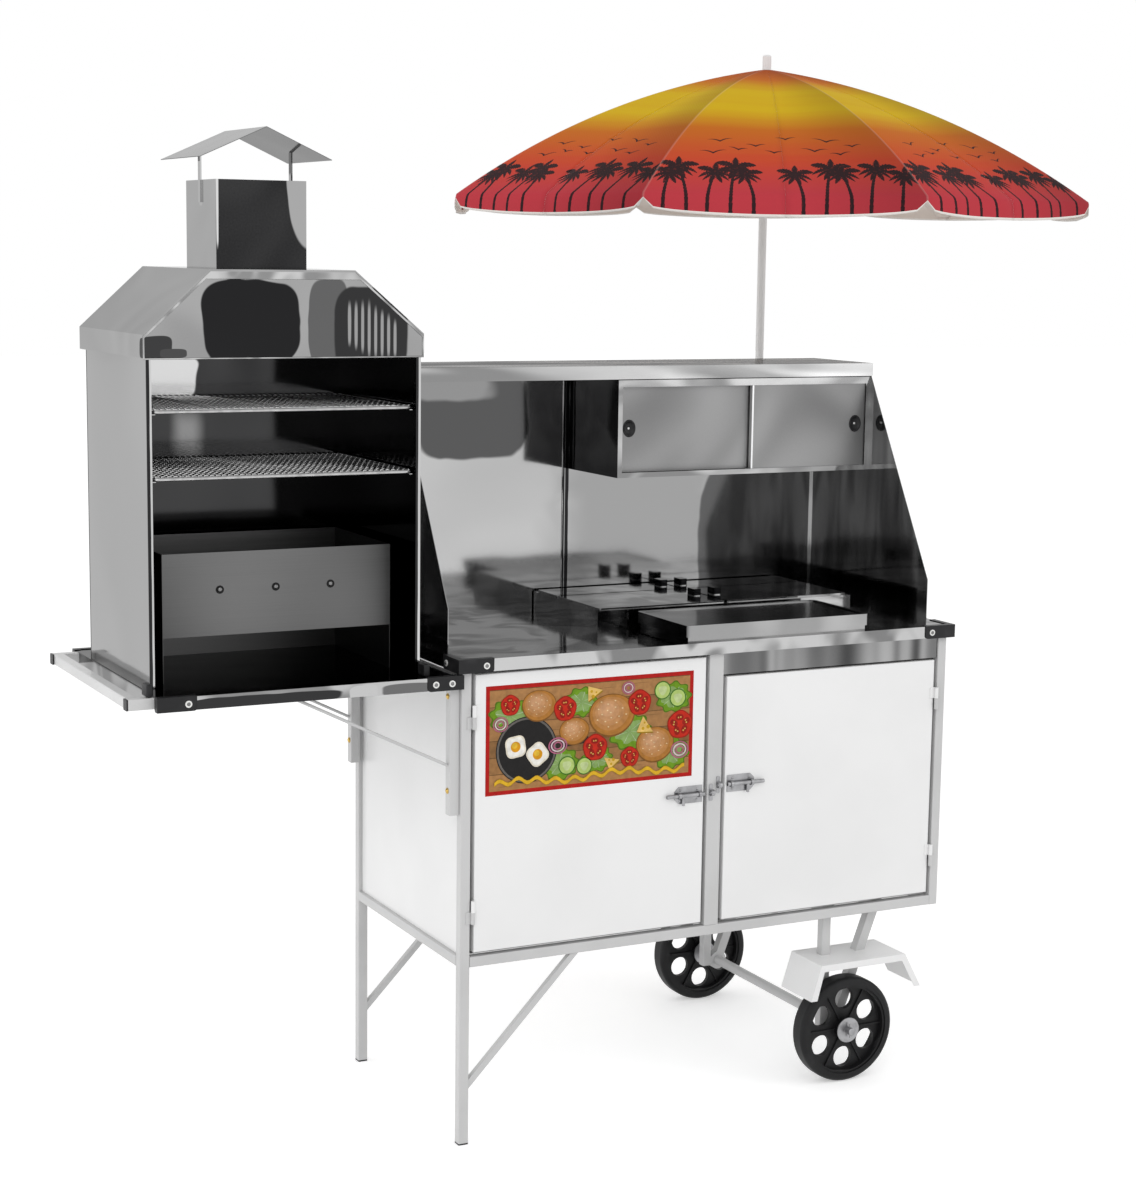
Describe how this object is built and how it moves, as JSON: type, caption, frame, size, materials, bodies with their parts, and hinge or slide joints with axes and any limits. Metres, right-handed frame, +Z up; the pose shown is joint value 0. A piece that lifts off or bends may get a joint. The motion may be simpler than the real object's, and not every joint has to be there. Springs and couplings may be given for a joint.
{
  "type": "hot dog cart",
  "caption": "Street food cart: white cabinet on legs and wheels, stainless counter with griddle and hot wells, charcoal grill tower on a side shelf, overhead showcase, folding parasol",
  "frame": {"origin": "on the floor, at the middle of the plan box, which lies behind the cabinet because of the parasol", "axes": "+X to the right along the counter, +Y to the back, +Z up"},
  "size_m": [2.3238, 1.4156, 2.112],
  "materials": {
    "frame_paint": "satin grey",
    "white_paint": "satin white",
    "black_plastic": "moulded black",
    "stainless": "mirror polished",
    "satin_steel": "satin",
    "zinc": "zinc plated",
    "burner_steel": "heat stained",
    "rack_wire": "plated wire",
    "wheel_black": "moulded black",
    "parasol_white": "white enamel",
    "parasol_cloth": "printed sunset cloth"
  },
  "bodies": {
    "cart": {"cabinet_frame": "frame_paint", "tube_end_caps": "black_plastic", "cabinet_panels": "white_paint", "hinge_pintles": "frame_paint", "latch_keepers": "zinc", "countertop": "stainless", "corner_guards": "black_plastic", "burner_box": "stainless", "gas_burners": "burner_steel", "griddle_plate": "satin_steel", "pan_frame": "stainless", "back_wall": "stainless", "wing_panels": "stainless", "top_shelf": "stainless", "overhead_cabinet": "stainless", "grill_tray": "stainless", "shelf_brackets": "frame_paint", "grill_body": "stainless", "hood": "stainless", "chimney": "stainless", "axle_carrier": "frame_paint", "axle": "zinc", "fenders": "white_paint", "pole_socket": "frame_paint"},
    "left_door": {"left_door": "white_paint", "left_latch_plate": "zinc"},
    "right_door": {"right_door": "white_paint", "right_latch_plate": "zinc"},
    "left_bolt": {"left_latch_bolt": "zinc"},
    "right_bolt": {"right_latch_bolt": "zinc"},
    "front_left_lid": {"front_left_lid": "satin_steel"},
    "front_right_lid": {"front_right_lid": "satin_steel"},
    "rear_left_lid": {"rear_left_lid": "satin_steel"},
    "rear_right_lid": {"rear_right_lid": "satin_steel"},
    "left_slider": {"left_sliding_door": "satin_steel"},
    "right_slider": {"right_sliding_door": "satin_steel"},
    "upper_rack": {"upper_rack": "rack_wire"},
    "lower_rack": {"lower_rack": "rack_wire"},
    "firebox": {"firebox": "satin_steel"},
    "front_wheel": {"front_wheel": "wheel_black"},
    "rear_wheel": {"rear_wheel": "wheel_black"},
    "umbrella": {"umbrella_pole": "parasol_white", "umbrella_canopy": "parasol_cloth"},
    "runner": {"umbrella_runner": "parasol_white"},
    "umbrella_rib_1": {"umbrella_rib_1": "parasol_white"},
    "umbrella_rib_2": {"umbrella_rib_2": "parasol_white"},
    "umbrella_rib_3": {"umbrella_rib_3": "parasol_white"},
    "umbrella_rib_4": {"umbrella_rib_4": "parasol_white"},
    "umbrella_rib_5": {"umbrella_rib_5": "parasol_white"},
    "umbrella_rib_6": {"umbrella_rib_6": "parasol_white"},
    "umbrella_rib_7": {"umbrella_rib_7": "parasol_white"},
    "umbrella_rib_8": {"umbrella_rib_8": "parasol_white"},
    "umbrella_stretcher_1": {"umbrella_stretcher_1": "parasol_white"},
    "umbrella_stretcher_2": {"umbrella_stretcher_2": "parasol_white"},
    "umbrella_stretcher_3": {"umbrella_stretcher_3": "parasol_white"},
    "umbrella_stretcher_4": {"umbrella_stretcher_4": "parasol_white"},
    "umbrella_stretcher_5": {"umbrella_stretcher_5": "parasol_white"},
    "umbrella_stretcher_6": {"umbrella_stretcher_6": "parasol_white"},
    "umbrella_stretcher_7": {"umbrella_stretcher_7": "parasol_white"},
    "umbrella_stretcher_8": {"umbrella_stretcher_8": "parasol_white"}
  },
  "joints": [
    {"name": "left_door_hinge", "type": "hinge", "parent": "cart", "child": "left_door", "pos_m": [-0.50691, -0.5945, 0.376], "axis": [0, 0, -1], "range_deg": [0, 110]},
    {"name": "right_door_hinge", "type": "hinge", "parent": "cart", "child": "right_door", "pos_m": [0.53509, -0.5945, 0.376], "axis": [0, 0, 1], "range_deg": [0, 110]},
    {"name": "left_bolt_slide", "type": "slide", "parent": "left_door", "child": "left_bolt", "axis": [1, 0, 0], "range_m": [0, 0.024]},
    {"name": "right_bolt_slide", "type": "slide", "parent": "right_door", "child": "right_bolt", "axis": [-1, 0, 0], "range_m": [0, 0.024]},
    {"name": "front_left_lid_lift", "type": "slide", "parent": "cart", "child": "front_left_lid", "axis": [0, 0, 1], "range_m": [0, 0.15]},
    {"name": "front_right_lid_lift", "type": "slide", "parent": "cart", "child": "front_right_lid", "axis": [0, 0, 1], "range_m": [0, 0.15]},
    {"name": "rear_left_lid_lift", "type": "slide", "parent": "cart", "child": "rear_left_lid", "axis": [0, 0, 1], "range_m": [0, 0.15]},
    {"name": "rear_right_lid_lift", "type": "slide", "parent": "cart", "child": "rear_right_lid", "axis": [0, 0, 1], "range_m": [0, 0.15]},
    {"name": "left_slider_slide", "type": "slide", "parent": "cart", "child": "left_slider", "axis": [1, 0, 0], "range_m": [0, 0.2655]},
    {"name": "right_slider_slide", "type": "slide", "parent": "cart", "child": "right_slider", "axis": [-1, 0, 0], "range_m": [0, 0.3057]},
    {"name": "upper_rack_slide", "type": "slide", "parent": "cart", "child": "upper_rack", "axis": [0, -1, 0], "range_m": [0, 0.25]},
    {"name": "lower_rack_slide", "type": "slide", "parent": "cart", "child": "lower_rack", "axis": [0, -1, 0], "range_m": [0, 0.25]},
    {"name": "firebox_slide", "type": "slide", "parent": "cart", "child": "firebox", "axis": [0, -1, 0], "range_m": [0, 0.115]},
    {"name": "front_wheel_spin", "type": "hinge", "parent": "cart", "child": "front_wheel", "pos_m": [0.33709, -0.583, 0.11], "axis": [0, 1, 0], "continuous": true},
    {"name": "rear_wheel_spin", "type": "hinge", "parent": "cart", "child": "rear_wheel", "pos_m": [0.33709, 0.004, 0.11], "axis": [0, 1, 0], "continuous": true},
    {"name": "umbrella_lift", "type": "slide", "parent": "cart", "child": "umbrella", "axis": [0, 0, 1], "range_m": [0, 0.4]},
    {"name": "umbrella_fold", "type": "slide", "parent": "umbrella", "child": "runner", "axis": [0, 0, -1], "range_m": [0, 0.21468], "deforming": ["umbrella_canopy"]},
    {"name": "rib_1_pivot", "type": "hinge", "parent": "umbrella", "child": "umbrella_rib_1", "pos_m": [0.46642, 0.0102, 2.072], "axis": [-0.6374, 0.7705, 0], "range_deg": [0, 30.6]},
    {"name": "stretcher_1_pivot", "type": "hinge", "parent": "runner", "child": "umbrella_stretcher_1", "pos_m": [0.46585, 0.01622, 1.812], "axis": [0.6374, -0.7705, 0], "range_deg": [0, 18.84]},
    {"name": "rib_2_pivot", "type": "hinge", "parent": "umbrella", "child": "umbrella_rib_2", "pos_m": [0.4556, 0.01593, 2.072], "axis": [-0.9956, 0.0941, 0], "range_deg": [0, 30.6]},
    {"name": "stretcher_2_pivot", "type": "hinge", "parent": "runner", "child": "umbrella_stretcher_2", "pos_m": [0.45094, 0.01978, 1.812], "axis": [0.9956, -0.0941, 0], "range_deg": [0, 18.84]},
    {"name": "rib_3_pivot", "type": "hinge", "parent": "umbrella", "child": "umbrella_rib_3", "pos_m": [0.44389, 0.01233, 2.072], "axis": [-0.7705, -0.6374, 0], "range_deg": [0, 30.6]},
    {"name": "stretcher_3_pivot", "type": "hinge", "parent": "runner", "child": "umbrella_stretcher_3", "pos_m": [0.43787, 0.01176, 1.812], "axis": [0.7705, 0.6374, 0], "range_deg": [0, 18.84]},
    {"name": "rib_4_pivot", "type": "hinge", "parent": "umbrella", "child": "umbrella_rib_4", "pos_m": [0.43816, 0.00151, 2.072], "axis": [-0.0941, -0.9956, 0], "range_deg": [0, 30.6]},
    {"name": "stretcher_4_pivot", "type": "hinge", "parent": "runner", "child": "umbrella_stretcher_4", "pos_m": [0.43431, -0.00315, 1.812], "axis": [0.0941, 0.9956, 0], "range_deg": [0, 18.84]},
    {"name": "rib_5_pivot", "type": "hinge", "parent": "umbrella", "child": "umbrella_rib_5", "pos_m": [0.44176, -0.0102, 2.072], "axis": [0.6374, -0.7705, 0], "range_deg": [0, 30.6]},
    {"name": "stretcher_5_pivot", "type": "hinge", "parent": "runner", "child": "umbrella_stretcher_5", "pos_m": [0.44233, -0.01622, 1.812], "axis": [-0.6374, 0.7705, 0], "range_deg": [0, 18.84]},
    {"name": "rib_6_pivot", "type": "hinge", "parent": "umbrella", "child": "umbrella_rib_6", "pos_m": [0.45259, -0.01593, 2.072], "axis": [0.9956, -0.0941, 0], "range_deg": [0, 30.6]},
    {"name": "stretcher_6_pivot", "type": "hinge", "parent": "runner", "child": "umbrella_stretcher_6", "pos_m": [0.45724, -0.01978, 1.812], "axis": [-0.9956, 0.0941, 0], "range_deg": [0, 18.84]},
    {"name": "rib_7_pivot", "type": "hinge", "parent": "umbrella", "child": "umbrella_rib_7", "pos_m": [0.46429, -0.01233, 2.072], "axis": [0.7705, 0.6374, 0], "range_deg": [0, 30.6]},
    {"name": "stretcher_7_pivot", "type": "hinge", "parent": "runner", "child": "umbrella_stretcher_7", "pos_m": [0.47031, -0.01176, 1.812], "axis": [-0.7705, -0.6374, 0], "range_deg": [0, 18.84]},
    {"name": "rib_8_pivot", "type": "hinge", "parent": "umbrella", "child": "umbrella_rib_8", "pos_m": [0.47002, -0.00151, 2.072], "axis": [0.0941, 0.9956, 0], "range_deg": [0, 30.6]},
    {"name": "stretcher_8_pivot", "type": "hinge", "parent": "runner", "child": "umbrella_stretcher_8", "pos_m": [0.47388, 0.00315, 1.812], "axis": [-0.0941, -0.9956, 0], "range_deg": [0, 18.84]}
  ],
  "couplings": [
    {"joint": "rib_1_pivot", "follows": "umbrella_fold", "rad_per_m": 2.4837},
    {"joint": "stretcher_1_pivot", "follows": "umbrella_fold", "rad_per_m": 1.5274},
    {"joint": "rib_2_pivot", "follows": "umbrella_fold", "rad_per_m": 2.4837},
    {"joint": "stretcher_2_pivot", "follows": "umbrella_fold", "rad_per_m": 1.5274},
    {"joint": "rib_3_pivot", "follows": "umbrella_fold", "rad_per_m": 2.4837},
    {"joint": "stretcher_3_pivot", "follows": "umbrella_fold", "rad_per_m": 1.5274},
    {"joint": "rib_4_pivot", "follows": "umbrella_fold", "rad_per_m": 2.4837},
    {"joint": "stretcher_4_pivot", "follows": "umbrella_fold", "rad_per_m": 1.5274},
    {"joint": "rib_5_pivot", "follows": "umbrella_fold", "rad_per_m": 2.4837},
    {"joint": "stretcher_5_pivot", "follows": "umbrella_fold", "rad_per_m": 1.5274},
    {"joint": "rib_6_pivot", "follows": "umbrella_fold", "rad_per_m": 2.4837},
    {"joint": "stretcher_6_pivot", "follows": "umbrella_fold", "rad_per_m": 1.5274},
    {"joint": "rib_7_pivot", "follows": "umbrella_fold", "rad_per_m": 2.4837},
    {"joint": "stretcher_7_pivot", "follows": "umbrella_fold", "rad_per_m": 1.5274},
    {"joint": "rib_8_pivot", "follows": "umbrella_fold", "rad_per_m": 2.4837},
    {"joint": "stretcher_8_pivot", "follows": "umbrella_fold", "rad_per_m": 1.5274}
  ]
}
